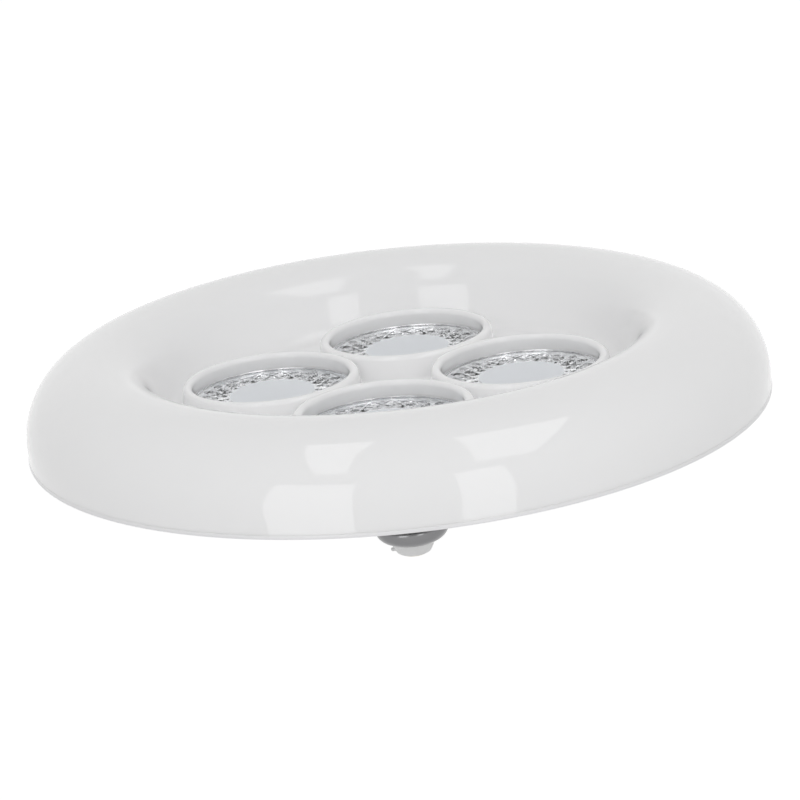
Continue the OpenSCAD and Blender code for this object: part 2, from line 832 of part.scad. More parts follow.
// Pan-head screw with a cross recess; its head's underside is at the origin, its shank points up
module screw(length) {
  color("silver") {
    difference() {
      union() {
        translate([0, 0, -screw_head_h]) cylinder(r = head_r, h = screw_head_h);
        cylinder(r = shank_r, h = length);
      }
      for (a = [0, 90]) rotate([0, 0, a]) {
        translate([-1.5, -0.3, -screw_head_h - 1]) cube([3, 0.6, 1.9]);
      }
    }
  }
}
module cover_screws() {
  around(spot_n, cover_screw_r, post_angle) {
    translate([0, 0, floor_out_z + screw_head_h]) screw(cover_screw_l);
  }
}
module plate_screws() {
  around(spot_n, plate_screw_r, plate_turn) {
    translate([0, 0, plate_top]) mirror([0, 0, 1]) screw(plate_screw_l);
  }
}
module driver_screws() {
  around(driver_screw_n, driver_screw_r) {
    translate([0, 0, driver_top]) mirror([0, 0, 1]) screw(driver_screw_l);
  }
}

diffuser();
back_cover();
screw_shell();
base_insulator();
centre_contact();
spot_lens(0);  // spot_lens_1
spot_lens(1);  // spot_lens_2
spot_lens(2);  // spot_lens_3
spot_lens(3);  // spot_lens_4
spot_reflector(0);  // spot_reflector_1
spot_reflector(1);  // spot_reflector_2
spot_reflector(2);  // spot_reflector_3
spot_reflector(3);  // spot_reflector_4
spot_board(0);  // spot_board_1
spot_board(1);  // spot_board_2
spot_board(2);  // spot_board_3
spot_board(3);  // spot_board_4
spot_emitter(0);  // spot_emitter_1
spot_emitter(1);  // spot_emitter_2
spot_emitter(2);  // spot_emitter_3
spot_emitter(3);  // spot_emitter_4
led_plate();
ring_led_board();
driver_board();
transformer();
input_capacitor();
output_capacitor();
line_choke();
bridge_rectifier();
fusible_resistor();
driver_chip();
live_lead();
neutral_lead();
plus_lead();
minus_lead();
spot_leads();
cover_screws();
plate_screws();
driver_screws();
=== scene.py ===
# %% [markdown]
# # A saucer-shaped LED lamp with four crystal spots
# The lamp's solids are already built and packed. This lesson dresses them: it makes smooth, finely rounded
# skins for the pieces that show, gives every piece a finish that works at its real size, and lights it as
# a small photo studio does. Lengths in the outlines are millimetres, as on a workshop drawing.

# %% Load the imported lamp
import math
import bmesh
import bpy
from mathutils import Matrix, Vector
from mathutils.geometry import interpolate_bezier


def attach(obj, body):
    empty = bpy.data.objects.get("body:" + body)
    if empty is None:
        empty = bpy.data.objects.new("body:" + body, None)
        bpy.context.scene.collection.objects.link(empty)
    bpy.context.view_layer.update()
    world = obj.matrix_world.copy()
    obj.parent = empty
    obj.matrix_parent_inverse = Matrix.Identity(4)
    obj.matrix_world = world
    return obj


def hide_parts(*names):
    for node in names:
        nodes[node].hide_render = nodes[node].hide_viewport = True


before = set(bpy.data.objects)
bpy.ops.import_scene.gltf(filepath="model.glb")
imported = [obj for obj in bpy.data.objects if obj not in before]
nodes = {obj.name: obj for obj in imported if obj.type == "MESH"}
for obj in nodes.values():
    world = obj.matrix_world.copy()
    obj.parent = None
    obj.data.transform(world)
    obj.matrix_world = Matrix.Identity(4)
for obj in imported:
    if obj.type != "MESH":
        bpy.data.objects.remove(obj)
scene = bpy.context.scene
mm = 0.001


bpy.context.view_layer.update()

# %% [markdown]
# ## Camera
# The lamp is seen from about 17 degrees above its rim, through a long lens, so its ellipses stay nearly
# parallel. The camera is also turned a little about its own line of sight, which makes the lamp lean.
# A small shift moves the picture without changing the perspective. The focal length, the picture's width
# and the point that the camera's axis meets are given in pixels, and are turned into the lens and shift.

# %% Camera
picture_width = 800
focal_length = 3662.59
axis_x, axis_y = 395.03, 372.06
sensor_width = 36
distance = 1.2276
elevation = math.radians(16.561)
roll = math.radians(6.17)
aim = Vector((0, 0, 0.0646))
forward = Vector((0, math.cos(elevation), -math.sin(elevation)))
upright = Vector((0, math.sin(elevation), math.cos(elevation)))
right = math.cos(roll) * Vector((1, 0, 0)) - math.sin(roll) * upright
up = math.sin(roll) * Vector((1, 0, 0)) + math.cos(roll) * upright

camera = bpy.data.objects.new("camera", bpy.data.cameras.new("camera"))
scene.collection.objects.link(camera)
facing = Matrix((right, up, -forward)).transposed().to_4x4()
camera.matrix_world = Matrix.Translation(aim - distance * forward) @ facing
camera.data.sensor_width = sensor_width
camera.data.lens = focal_length * sensor_width / picture_width
camera.data.shift_x = (picture_width / 2 - axis_x) / picture_width
camera.data.shift_y = (axis_y - picture_width / 2) / picture_width
camera.data.clip_end = 60
scene.camera = camera
print("camera at", [round(value, 3) for value in camera.location], "lens", round(camera.data.lens, 1), "mm")

# %% [markdown]
# ## Helpers for node trees
# Every finish below is a small tree of nodes. One helper adds a node and fills its inputs, with a number or
# with a link, and others do sums, ramps, blends and noise. They keep the finishes short enough to read.

# %% Node helpers
def feed(tree, socket, value):
    """Links a value that comes out of a node, and writes any other value into the socket."""
    if isinstance(value, bpy.types.NodeSocket):
        tree.links.new(value, socket)
    else:
        socket.default_value = value


def add(tree, kind, inputs=None, **settings):
    node = tree.nodes.new(kind)
    for name, value in settings.items():
        setattr(node, name, value)
    for key, value in (inputs or {}).items():
        feed(tree, node.inputs[key], value)
    return node


def sums(tree, operation, a, b=0.0, c=0.0):
    return add(tree, "ShaderNodeMath", {0: a, 1: b, 2: c}, operation=operation).outputs[0]


def ramp(tree, value, low, high, start=0.0, end=1.0):
    spread = {"Value": value, "From Min": low, "From Max": high, "To Min": start, "To Max": end}
    return add(tree, "ShaderNodeMapRange", spread).outputs[0]


def blend(tree, mask, one, other):
    return add(tree, "ShaderNodeMix", {0: mask, 6: one, 7: other}, data_type="RGBA").outputs[2]


def noise(tree, place, scale, detail):
    return add(tree, "ShaderNodeTexNoise", {"Vector": place, "Scale": scale, "Detail": detail}).outputs[0]


def dimmed(tree, colour, amount):
    kept_part = sums(tree, "SUBTRACT", 1.0, amount)
    return add(tree, "ShaderNodeVectorMath", {0: colour, "Scale": kept_part}, operation="SCALE").outputs[0]


def split(tree, place):
    return add(tree, "ShaderNodeSeparateXYZ", {0: place}).outputs[:3]


def new_material(name):
    material = bpy.data.materials.new(name)
    material.use_nodes = True
    tree = material.node_tree
    place = tree.nodes.new("ShaderNodeTexCoord").outputs["Object"]
    return material, tree, tree.nodes["Principled BSDF"], place


def new_group(name, inputs, outputs):
    group = bpy.data.node_groups.new(name, "ShaderNodeTree")
    for label, kind, value in inputs:
        socket = group.interface.new_socket(name=label, in_out="INPUT", socket_type=kind)
        if value is not None:
            socket.default_value = value
    for label, kind in outputs:
        group.interface.new_socket(name=label, in_out="OUTPUT", socket_type=kind)
    return group, group.nodes.new("NodeGroupInput").outputs, group.nodes.new("NodeGroupOutput").inputs


# %% [markdown]
# ## The studio
# A white lamp before a white ground needs soft light from all round. The world gives that, and its Light
# Path keeps it pure white where the camera, glass, gloss or metal looks at it, and gentler where it lights
# the lamp. Two tall softboxes stand left and right of the camera, and two panels hang overhead. Their pale
# mirror images on the glossy moulding are what shows that it is round. A fill behind the camera evens out
# the shades. A ray that meets two lights in the same place counts only one of them, so the part of a light
# that shows in gloss hangs a few millimetres behind the part that lights the lamp.

# %% World
world = bpy.data.worlds.new("white_room")
scene.world = world
world.use_nodes = True
tree = world.node_tree


def white_where_seen(tree, seen, other):
    """The strength for rays from the camera, mirrored or through glass, and for all others."""
    path = tree.nodes.new("ShaderNodeLightPath").outputs
    direct = sums(tree, "MAXIMUM", path["Is Camera Ray"], path["Is Transmission Ray"])
    return ramp(tree, sums(tree, "MAXIMUM", direct, path["Is Glossy Ray"]), 0, 1, other, seen)


ambient = 0.605
back = tree.nodes["Background"]
back.inputs["Color"].default_value = (1, 1, 1, 1)
feed(tree, back.inputs["Strength"], white_where_seen(tree, 1, ambient))
print("world lights the lamp at", ambient)

# %% Softboxes and panels
def panel(name, place, target, along, width, height, brightness, sheen):
    """
    A soft light that looks from its place to the target. Its height runs along the given direction. One part
    of it lights the lamp with the brightness, and one, just behind it, adds what its gloss shows beyond that.
    """
    z = (Vector(place) - Vector(target)).normalized()
    y = (Vector(along) - Vector(along).dot(z) * z).normalized()
    facing = Matrix((y.cross(z), y, z)).transposed().to_4x4()
    for part, strength, behind in (("light", brightness, 0), ("sheen", sheen - brightness, 0.004)):
        if strength <= 0:
            continue
        light = bpy.data.lights.new(f"{name}_{part}", "AREA")
        light.shape = "RECTANGLE"
        light.size = width
        light.size_y = height
        light.energy = 4 * strength * width * height
        lamp = bpy.data.objects.new(light.name, light)
        scene.collection.objects.link(lamp)
        lamp.matrix_world = Matrix.Translation(Vector(place) + behind * z) @ facing
        lamp.visible_camera = False
        lamp.visible_diffuse = part == "light"
        lamp.visible_glossy = sheen > 0
        print(light.name, "strength", round(strength, 2), "power", round(light.energy, 2), "W")


panel("softbox_left", (-0.771, -1.402, 0.3), (0, 0, 0.3), (0, 0, 1), 0.73, 1.6, 0.16, 1.3)
panel("softbox_right", (0.612, -1.478, 0.3), (0, 0, 0.3), (0, 0, 1), 0.44, 1.6, 0.28, 1.3)
panel("panel_left", (-0.36, -0.445, 1.3), (-0.36, -0.445, 0), (0.25, 0.89, 0), 0.24, 1.2, 0.3, 1.25)
panel("panel_right", (0.62, -0.575, 1.3), (0.62, -0.575, 0), (-0.27, 0.87, 0), 0.54, 1.17, 0.4, 1.25)
panel("front_fill", (0, -1.6, 0.95), (0, 0, 0.06), (0, 0, 1), 1.6, 0.9, 0.88, 0)

# %% Floor
floor_radius, floor_z = 14, -0.6
paper_glow = 0.45
floor_form = bmesh.new()
bmesh.ops.create_circle(floor_form, segments=96, radius=floor_radius, cap_ends=True)
bmesh.ops.translate(floor_form, verts=floor_form.verts, vec=(0, 0, floor_z))
floor_mesh = bpy.data.meshes.new("floor")
floor_form.to_mesh(floor_mesh)
floor_form.free()
floor = bpy.data.objects.new("floor", floor_mesh)
scene.collection.objects.link(floor)

paper, tree, shader, place = new_material("white_paper")
shader.inputs["Roughness"].default_value = 0.9
shader.inputs["Base Color"].default_value = (0.9, 0.9, 0.9, 1)
glow = white_where_seen(tree, paper_glow, 0)
lift = add(tree, "ShaderNodeEmission", {"Color": (1, 1, 1, 1), "Strength": glow})
both = add(tree, "ShaderNodeAddShader", {0: shader.outputs[0], 1: lift.outputs[0]})
feed(tree, tree.nodes["Material Output"].inputs["Surface"], both.outputs[0])
floor_mesh.materials.append(paper)
scene.view_settings.view_transform = "Standard"
print("floor is", round(floor.dimensions.x, 1), "m across")

# %% [markdown]
# ## Groups shared by several finishes
# Moulded plastic is never quite flat: it has a slow ripple from the flow of the melt and the fine texture
# of the steel mould. Metal shows fine lines where it was rolled or turned, and it is rougher in some places
# than in others. Each effect is a group, built once, that every finish uses with its own values.

# %% Group for mouldings
moulded, given, made = new_group(
    "moulded_skin",
    [
        ("Vector", "NodeSocketVector", None), ("Colour", "NodeSocketColor", (0.8, 0.8, 0.8, 1)),
        ("Shade", "NodeSocketFloat", 0.03), ("Rough", "NodeSocketFloat", 0.3),
        ("Ripple Scale", "NodeSocketFloat", 45.0), ("Ripple Height", "NodeSocketFloat", 0.0),
        ("Grain Scale", "NodeSocketFloat", 2500.0), ("Grain Height", "NodeSocketFloat", 0.0),
    ],
    [("Colour", "NodeSocketColor"), ("Roughness", "NodeSocketFloat"), ("Height", "NodeSocketFloat")],
)
ripple = noise(moulded, given["Vector"], given["Ripple Scale"], 2.0)
grain = noise(moulded, given["Vector"], given["Grain Scale"], 3.0)
darker = sums(moulded, "MULTIPLY", given["Shade"], ripple)
feed(moulded, made["Colour"], dimmed(moulded, given["Colour"], darker))
wander = ramp(moulded, grain, 0.3, 0.7, 0.85, 1.15)
feed(moulded, made["Roughness"], sums(moulded, "MULTIPLY", given["Rough"], wander))
slow = sums(moulded, "MULTIPLY", ripple, given["Ripple Height"])
feed(moulded, made["Height"], sums(moulded, "MULTIPLY_ADD", grain, given["Grain Height"], slow))
print("group", moulded.name, "has", len(moulded.nodes), "nodes")

# %% Group for metals
metal, given, made = new_group(
    "worked_metal",
    [
        ("Vector", "NodeSocketVector", None), ("Colour", "NodeSocketColor", (0.8, 0.8, 0.8, 1)),
        ("Shade", "NodeSocketFloat", 0.1), ("Rough", "NodeSocketFloat", 0.2),
        ("Line Scale", "NodeSocketFloat", 3000.0), ("Line Height", "NodeSocketFloat", 1e-6),
        ("Cloud Scale", "NodeSocketFloat", 120.0),
    ],
    [("Colour", "NodeSocketColor"), ("Roughness", "NodeSocketFloat"), ("Height", "NodeSocketFloat")],
)
lines = noise(metal, given["Vector"], given["Line Scale"], 4.0)
clouds = noise(metal, given["Vector"], given["Cloud Scale"], 3.0)
dull = sums(metal, "MULTIPLY", given["Shade"], ramp(metal, clouds, 0.4, 0.7))
feed(metal, made["Colour"], dimmed(metal, given["Colour"], dull))
fine_wander = ramp(metal, lines, 0.3, 0.7, 0.7, 1.3)
wander = sums(metal, "MULTIPLY", fine_wander, ramp(metal, clouds, 0.3, 0.7, 0.8, 1.2))
feed(metal, made["Roughness"], sums(metal, "MULTIPLY", given["Rough"], wander))
feed(metal, made["Height"], sums(metal, "MULTIPLY", lines, given["Line Height"]))
print("group", metal.name, "has", len(metal.nodes), "nodes")

# %% Helpers that put a group into a finish
def skin(tree, shader, group, values):
    node = add(tree, "ShaderNodeGroup", values, node_tree=group)
    feed(tree, shader.inputs["Base Color"], node.outputs["Colour"])
    feed(tree, shader.inputs["Roughness"], node.outputs["Roughness"])
    bump = add(tree, "ShaderNodeBump", {"Distance": 1.0, "Height": node.outputs["Height"]})
    feed(tree, shader.inputs["Normal"], bump.outputs["Normal"])
    return node


def finish(slot, group, values, **shader_values):
    """One finish from one group. A value may be a function that draws its pattern from the place."""
    material, tree, shader, place = new_material(slot)

    def drawn(value):
        return value(tree, place) if callable(value) else value

    skin(tree, shader, group, {"Vector": place, **{key: drawn(value) for key, value in values.items()}})
    for key, value in shader_values.items():
        feed(tree, shader.inputs[key.replace("_", " ")], drawn(value))
    finishes[slot] = material
    print("finish", slot, "has", len(tree.nodes), "nodes")


def distance_from_axis(tree, x, y):
    flat = add(tree, "ShaderNodeCombineXYZ", {0: x, 1: y}).outputs[0]
    return add(tree, "ShaderNodeVectorMath", {0: flat}, operation="LENGTH").outputs["Value"]


def wrapped(tree, place):
    """Distance from the axis and height, so that a pattern runs evenly round the lamp."""
    x, y, z = split(tree, place)
    return add(tree, "ShaderNodeCombineXYZ", {0: distance_from_axis(tree, x, y), 2: z}).outputs[0]


finishes = {}

# %% [markdown]
# ## Opal
# The diffuser is one glossy moulding of opal plastic. Light goes a little way into it and comes out again,
# which softens its shades, so the shader gets some subsurface scattering at the depth of a thin wall. A very
# low ripple makes the mirror images of the softboxes wander as they do on real mouldings.

# %% Opal finish
finish("opal", moulded, {
    "Colour": (0.96, 0.96, 0.965, 1), "Shade": 0.01, "Rough": 0.02,
    "Ripple Scale": 38.0, "Ripple Height": 6e-6, "Grain Scale": 1800.0, "Grain Height": 2e-8,
}, IOR=1.49, Subsurface_Weight=0.35, Subsurface_Radius=(1, 1, 1), Subsurface_Scale=0.002)

# %% [markdown]
# ## Turning a section into a piece
# Nearly every piece of this lamp is round, and so it is made as a potter or a lathe would make it: half of
# its section is drawn as a line, and spin turns that line round the axis. Points on the axis fall together,
# so doubles are merged, and the normals are worked out again before anything else happens.

# %% Lathe
def lathe(outline, steps, closed=False, place=None):
    form = bmesh.new()
    points = [form.verts.new((x * mm, 0, z * mm)) for x, z in outline]
    pairs = list(zip(points, points[1:])) + ([(points[-1], points[0])] if closed else [])
    edges = [form.edges.new(pair) for pair in pairs]
    bmesh.ops.spin(
        form, geom=points + edges, cent=(0, 0, 0), axis=(0, 0, 1), dvec=(0, 0, 0),
        angle=2 * math.pi, steps=steps, use_merge=True,
    )
    bmesh.ops.remove_doubles(form, verts=form.verts, dist=1e-7)
    bmesh.ops.recalc_face_normals(form, faces=form.faces)
    if place is not None:
        bmesh.ops.transform(form, matrix=place, verts=form.verts)
    return form


def soften(form, radius, sharper_than):
    sharp = [edge for edge in form.edges if edge.calc_face_angle(0) > math.radians(sharper_than)]
    bmesh.ops.bevel(
        form, geom=sharp, offset=radius * mm, offset_type="OFFSET", affect="EDGES",
        segments=2, profile=0.5, material=-1, clamp_overlap=True,
    )
    return form


def gather(forms):
    whole = bmesh.new()
    for form in forms:
        mesh = bpy.data.meshes.new("part")
        form.to_mesh(mesh)
        form.free()
        whole.from_mesh(mesh)
        bpy.data.meshes.remove(mesh)
    return whole


# %% Making an object, and cutting it
def make(name, form, slot, stands_for, sharp_angle=30):
    mesh = bpy.data.meshes.new(name)
    form.to_mesh(mesh)
    form.free()
    thing = bpy.data.objects.new(name, mesh)
    scene.collection.objects.link(thing)
    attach(thing, "root")
    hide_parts(*stands_for)
    thing.data.materials.append(finishes[slot])
    shade(thing, sharp_angle)
    return thing


def shade(thing, sharp_angle=30):
    thing.data.shade_smooth()
    thing.data.set_sharp_from_angle(angle=math.radians(sharp_angle))
    thing.data.update()
    print(thing.name, "has", sum(len(face.vertices) - 2 for face in thing.data.polygons), "triangles")


def carve(thing, steps):
    """Adds or cuts away each form in turn with the Boolean modifier, and keeps the result as the mesh."""
    tools = []
    for operation, form in steps:
        mesh = bpy.data.meshes.new("tool")
        form.to_mesh(mesh)
        form.free()
        tool = bpy.data.objects.new("tool", mesh)
        scene.collection.objects.link(tool)
        change = thing.modifiers.new("carve", "BOOLEAN")
        change.operation = operation
        change.solver = "MANIFOLD"
        change.object = tool
        tools.append(tool)
    bpy.context.view_layer.update()
    done = bpy.data.meshes.new_from_object(thing.evaluated_get(bpy.context.evaluated_depsgraph_get()))
    thing.modifiers.clear()
    done.name = thing.name
    thing.data = done
    for tool in tools:
        bpy.data.objects.remove(tool)
    check = bmesh.new()
    check.from_mesh(done)
    print(thing.name, "open edges after cutting:", sum(not edge.is_manifold for edge in check.edges))
    check.free()


# %% Curves of a section
def curve(a, b, c, d, count=28):
    points = interpolate_bezier(*(Vector((x, 0, z)) for x, z in (a, b, c, d)), count + 1)
    return [(point.x, point.z) for point in points]


def arc(x, z, radius, start, end, count, height=None):
    """Part of a circle round (x, z), from one angle to another, or of an ellipse of the given height."""
    turns = [math.radians(start + (end - start) * step / count) for step in range(count + 1)]
    return [(x + radius * math.cos(turn), z + (height or radius) * math.sin(turn)) for turn in turns]


def beside(line, depth):
    """The same line, moved sideways to its left by depth."""
    moved = []
    for index, (x, z) in enumerate(line):
        before, after = line[max(index - 1, 0)], line[min(index + 1, len(line) - 1)]
        run = Vector((after[0] - before[0], after[1] - before[1])).normalized()
        moved.append((x - depth * run.y, z + depth * run.x))
    return moved


# %% Places on a circle
def on_circle(count, radius, turn=0.0):
    out = Matrix.Translation((radius * mm, 0, 0))
    return [Matrix.Rotation(math.radians(turn + 360 * i / count), 4, "Z") @ out for i in range(count)]


spots = on_circle(4, 42.2, -7)
cover_screw_places = on_circle(4, 62, 38)
plate_screw_places = on_circle(4, 84, 15.5)
print("spots at", [[round(value, 4) for value in place.translation] for place in spots])

# %% [markdown]
# ## Diffuser
# The real diffuser is a single injection moulding: a broad rounded ring, a slope down to a flat bowl, and
# four drafted collars that grow out of the bowl and touch one another. A subdivided cage could follow it,
# but lathed skins keep its radii exact. The ring and the bowl are one turned wall. Round holes are cut in
# the bowl where the collars go, then the turned collars and the screw posts behind the bowl are added, and
# their walls cross the bowl's, so that no two faces lie in one another.

# %% Ring and bowl
ridge_z, bowl_z, wall_thickness = 80.7, 57.3, 2.0
outer = [(125.0, 51.8)] + arc(99.5, 55.9, 25.5, 0, 90, 28, height=24.8)
outer += curve((99.5, ridge_z), (75.2, ridge_z), (84.7, bowl_z), (73.5, bowl_z))[1:]
inner = beside(outer, wall_thickness)
wall = [(0, bowl_z)] + outer[::-1] + inner + [(0, bowl_z - wall_thickness)]
diffuser = make("opal_diffuser", lathe(wall, 256), "opal", ["diffuser"])

# %% Collars and posts
rim = arc(28.2, 64.6, 1.7, 180, 0, 18)
fillet = 1.6
foot = arc(30.35 + fillet, bowl_z + fillet, fillet, 180, 252, 8)
collar = [(28.5, 54.1), (28.5, 60.7), (27.3, 60.7), (27.2, 60.8)] + rim + foot
collar += [(32.27, 57.15), (32.27, 56.3), (29.9, 56.3), (29.9, 54.1)]
post = [(0, 56.3), (3.6, 56.3), (3.6, 47.6), (1.6, 47.6), (1.6, 55.0), (0, 55.0)]
holes = gather([lathe([(0, 50), (29.2, 50), (29.2, 62), (0, 62)], 96, place=place) for place in spots])
posts = gather([lathe(post, 32, place=place) for place in cover_screw_places])
rings = [("UNION", lathe(collar, 160, closed=True, place=place)) for place in spots]
carve(diffuser, [("DIFFERENCE", holes)] + rings + [("UNION", posts)])
shade(diffuser, 35)

# %% [markdown]
# ## Rear cover
# The cover is a white moulding with a satin face. Only the edge of its rim shows from the front, but the
# lamp is also looked at from behind, where the driver's housing, its vent slots and the deep holes of
# the four screws show. Its section is turned, then vents, screw holes and bosses are cut or added. Real
# moulded edges are never knife-sharp, so the turned section has its sharp edges bevelled first.

# %% Cover finish
finish("cover_white", moulded, {
    "Colour": (0.88, 0.88, 0.89, 1), "Shade": 0.02, "Rough": 0.34,
    "Ripple Scale": 30.0, "Ripple Height": 2e-5, "Grain Scale": 2600.0, "Grain Height": 6e-6,
}, IOR=1.49)

# %% Cover section
under = curve((43.5, 41.5), (38.5, 31.5), (17.3, 28.5), (14.3, 28.0), 24)
above = curve((38.3, 42.5), (34.3, 33.0), (16.3, 30.4), (10.0, 30.0), 24)
section = [(125.1, 50.5), (125.1, 51.75), (125.0, 51.8), (122.9, 51.8), (122.9, 54.3), (120.9, 54.3)]
section += [(120.9, 52.0), (106.5, 47), (40.7, 47), (40.7, 42.5)] + above
section += [(10.0, 15.6), (11.5, 15.6), (11.5, 27.0), (14.3, 27.0)] + under[::-1]
section += [(43.5, 43.5), (45, 45), (104.5, 45), (120, 50.5)]
cover_form = soften(lathe(section, 192, closed=True), 0.12, sharper_than=32)
cover = make("rear_cover", cover_form, "cover_white", ["back_cover"])

# %% Bosses, screw holes and vents
def rod(radius, low, high, place):
    return lathe([(0, low), (radius, low), (radius, high), (0, high)], 32, place=place)


boss_r, pilot_r = 4.8, 1.6
bosses = [rod(boss_r, 46, 47.6, place) for place in cover_screw_places]
bosses += [rod(boss_r, 46, 48.5, place) for place in plate_screw_places]
bosses += [rod(3.1, 36.5, 43.0, place) for place in on_circle(3, 36.4)]
cuts = [rod(3.0, 44, 46.6, place) for place in cover_screw_places]
pilots = [rod(pilot_r, 45.5, 50, place) for place in cover_screw_places]
pilots += [rod(pilot_r, 45.6, 50, place) for place in plate_screw_places]
pilots += [rod(pilot_r, 38.2, 44.3, place) for place in on_circle(3, 37.4)]


def block(length, width, height):
    form = bmesh.new()
    bmesh.ops.create_cube(form, size=1)
    bmesh.ops.scale(form, verts=form.verts, vec=(length * mm, width * mm, height * mm))
    return form


def vent(place, length=14.36, width=2.2, height=10, middle_z=34):
    form = block(length, width, height)
    standing = [edge for edge in form.edges if abs(edge.verts[0].co.z - edge.verts[1].co.z) > height / 2 * mm]
    bmesh.ops.bevel(
        form, geom=standing, offset=1.05 * mm, offset_type="OFFSET", affect="EDGES",
        segments=5, profile=0.5, material=-1,
    )
    bmesh.ops.translate(form, verts=form.verts, vec=(length / 2 * mm, 0, middle_z * mm))
    bmesh.ops.transform(form, matrix=place, verts=form.verts)
    return form


vents = [vent(place) for place in on_circle(24, 23.92, 7.5)]
carve(cover, [
    ("UNION", gather(bosses)), ("DIFFERENCE", gather(cuts)), ("DIFFERENCE", gather(pilots)),
    ("DIFFERENCE", gather(vents)),
])
shade(cover, 30)

# %% [markdown]
# ## Threaded shell
# The base's shell is a thin metal cup. A press rolls the thread into its wall, and its lower end is rolled
# in over the insulator. The lesson does the same in the same order: the plain cup is turned, then every
# point of its outer wall is pushed out by a wave that climbs one pitch per turn. A noise that is stretched
# round the axis gives the fine lines of the rolling. The metal's colour is kept darker than bright nickel,
# as a painted dark reflection, and the grooves of the thread are painted darker still, as painted shade.

# %% Shell finish
def shell_colours(tree, place):
    x, y, z = split(tree, place)
    # painted shade: the grooves of the thread get a darker colour, and the plain metal colour is a painted dark
    # reflection
    groove = ramp(tree, distance_from_axis(tree, x, y), 0.0122, 0.0131, 1, 0)
    threaded = ramp(tree, z, 0.0106, 0.0114)
    groove_painted_shade = sums(tree, "MULTIPLY", sums(tree, "MULTIPLY", groove, threaded), 0.75)
    return blend(tree, groove_painted_shade, (0.21, 0.21, 0.215, 1), (0.11, 0.107, 0.1, 1))


finish("shell_metal", metal, {
    "Vector": wrapped, "Colour": shell_colours, "Shade": 0.15, "Rough": 0.2,
    "Line Scale": 5200.0, "Line Height": 1.5e-6, "Cloud Scale": 160.0,
}, Metallic=1)

# %% Shell
roll_r, roll_z = 5.2, 10.4
pitch, crest_r, groove_depth, plain_r = 3.63, 13.2, 1.1, 12.9
thread_top, run_out = 23.0, 1.6
row_count = 56


def rolled_end(depth, count=14):
    return arc(plain_r - roll_r, roll_z, roll_r - depth, -90, 0, count)


rows = [(plain_r, roll_z + (thread_top - roll_z) * (step + 1) / row_count) for step in range(row_count)]
cup = rolled_end(0) + rows + [(plain_r, 23.6), (plain_r, 26.8), (12.75, 27), (11.75, 27), (11.6, 26.8)]
cup += rolled_end(1.3)[::-1] + [(7.2, 6.5), (7.2, 5.3), (7.4, 5.2)]
shell_form = lathe(cup, 144, closed=True)
for vert in shell_form.verts:
    flat = vert.co.xy.length
    z = vert.co.z / mm
    if flat > (plain_r - 0.1) * mm and roll_z < z < thread_top:
        wave = 0.5 + 0.5 * math.cos(2 * math.pi * z / pitch - math.atan2(vert.co.y, vert.co.x))
        run = max(0, min(1, (z - roll_z) / run_out, (thread_top - z) / run_out))
        pressed = plain_r + run * (crest_r - groove_depth * (1 - wave) - plain_r)
        vert.co.xy *= pressed * mm / flat
make("threaded_shell", shell_form, "shell_metal", ["screw_shell"], 45)

# %% [markdown]
# ## Insulator and end contact
# Below the shell sits a pale grey insulator, moulded with a small pip on one side, and in its middle the
# end contact: a shallow metal button on a hollow stem. Both are turned, and the pip is a capsule that is
# joined on, because on the real one it is part of the moulding.

# %% Finishes of the lamp base's end
finish("insulator", moulded, {
    "Colour": (0.84, 0.84, 0.84, 1), "Shade": 0.1, "Rough": 0.45,
    "Ripple Scale": 420.0, "Ripple Height": 2e-5, "Grain Scale": 5200.0, "Grain Height": 6e-6,
})
finish("contact_metal", metal, {
    "Vector": wrapped, "Colour": (0.75, 0.72, 0.62, 1), "Shade": 0.2, "Rough": 0.24,
    "Line Scale": 4200.0, "Line Height": 2e-6, "Cloud Scale": 300.0,
}, Metallic=1)

# %% Insulator
inside = rolled_end(1.4, 10)
plug = [(2.2, 1.1), (4.8, 1.1), (4.8, 0.8)]
plug += curve((5.1, 0.8), (6.0, 0.8), (6.2, 1.5), (7.7, 4.9), 12)
plug += [(7.5, 5.2), (7.1, 5.2), (7.1, inside[0][1])] + inside + [(2.2, roll_z)]
end_block = make("end_insulator", lathe(plug, 96, closed=True), "insulator", ["base_insulator"])
cap = arc(0, 1.19, 0.7, 0, 90, 6)
pip_place = Matrix.Translation((-6 * mm, 0, 2.208 * mm)) @ Matrix.Rotation(math.radians(-90), 4, "Y")
pip = lathe([(0, -1.2), (0.95, -1.2), (0.8, 0.25), (0.7, 0.6)] + cap[:-1] + [(0, 1.89)], 28, place=pip_place)
carve(end_block, [("UNION", pip)])
shade(end_block, 35)

# %% End contact
button = [(0, 0), (3.1, 0), (3.7, 0.05), (4.2, 0.2), (4.55, 0.4), (4.7, 0.65), (4.7, 1.1)]
button += [(2.1, 1.1), (2.1, 11.1), (0, 11.1)]
contact_form = soften(lathe(button, 72), 0.08, sharper_than=50)
make("end_contact", contact_form, "contact_metal", ["centre_contact"])

# %% [markdown]
# ## Cover screws
# Four pan-head screws hold the cover to the diffuser's posts. They show only from behind, at the bottom of
# their holes. Each head is turned with its domed edge, and a cross recess is cut into it.

# %% Screws
finish("screw_steel", metal, {
    "Colour": (0.6, 0.6, 0.61, 1), "Shade": 0.15, "Rough": 0.28,
    "Line Scale": 3000.0, "Line Height": 2e-6, "Cloud Scale": 500.0,
}, Metallic=1)
head_z = 45.0
head = [(0, head_z), (1.9, head_z), (2.5, 45.2), (2.75, 45.6), (2.8, 45.9), (2.8, 46.6)]
head += [(1.5, 46.6), (1.5, 54.0), (1.1, 54.5), (0, 54.5)]
heads = gather([lathe(head, 36, place=place) for place in cover_screw_places])
screws = make("cover_screw_set", heads, "screw_steel", ["cover_screws"])


def slot_cutter(place, turn):
    form = block(3, 0.6, 1.9)
    into_head = Matrix.Translation((0, 0, (head_z - 0.05) * mm)) @ Matrix.Rotation(math.radians(turn), 4, "Z")
    bmesh.ops.transform(form, matrix=place @ into_head, verts=form.verts)
    return form


